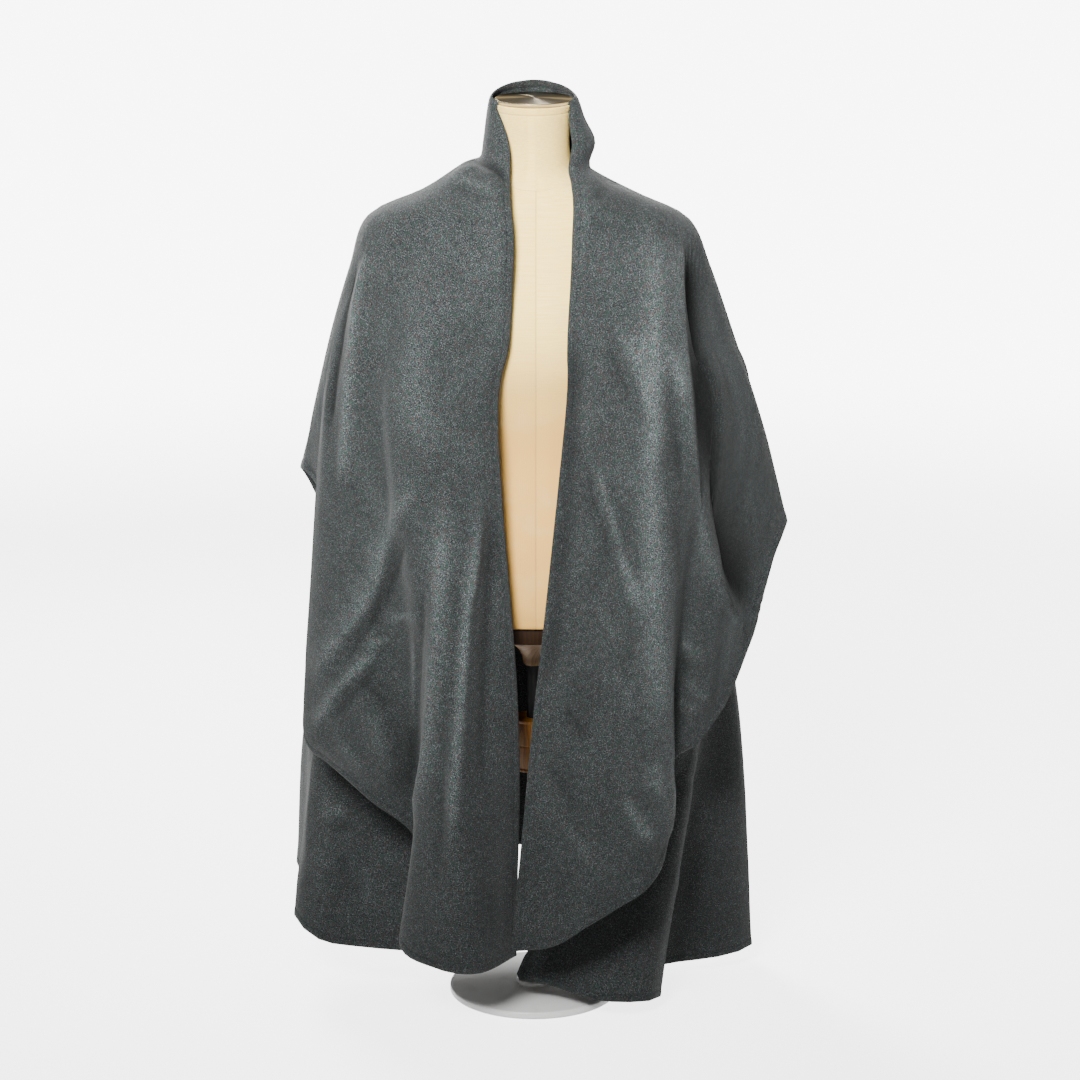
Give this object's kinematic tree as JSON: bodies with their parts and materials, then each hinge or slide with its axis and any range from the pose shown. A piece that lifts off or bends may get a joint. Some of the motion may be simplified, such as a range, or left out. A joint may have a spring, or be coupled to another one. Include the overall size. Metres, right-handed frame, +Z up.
{
  "type": "wool cape coat on a dress form",
  "caption": "Open-front wool cape cut in one piece, its neck edge drawn up as a roll and its lower corners rounded, worn on a limbless dress form with a post and a round base.",
  "frame": {"origin": "centre of the base plate's underside, on the floor", "axes": "+Z up along the post, -Y towards the open front, +X towards the viewer's right when looking at the front"},
  "size_m": [0.6729, 0.417, 1.2232],
  "materials": {
    "grey_wool": "soft heathered wool, slate grey",
    "cream_cover": "cream jersey cover",
    "bronze_nickel": "brushed, dark bronze-nickel",
    "dark_wood": "dark brown, satin",
    "pale_wood": "pale pinkish, satin",
    "brown_wood": "orange-brown, satin",
    "black_steel": "black, satin",
    "pale_paint": "off-white, satin"
  },
  "bodies": {
    "root": {"cape_panel": "grey_wool", "form_body": "cream_cover", "neck_cap": "bronze_nickel", "bottom_board": "dark_wood", "turned_boss": "pale_wood", "hub": "brown_wood", "post": "black_steel", "foot_collar": "black_steel", "base_plate": "pale_paint"}
  },
  "joints": []
}
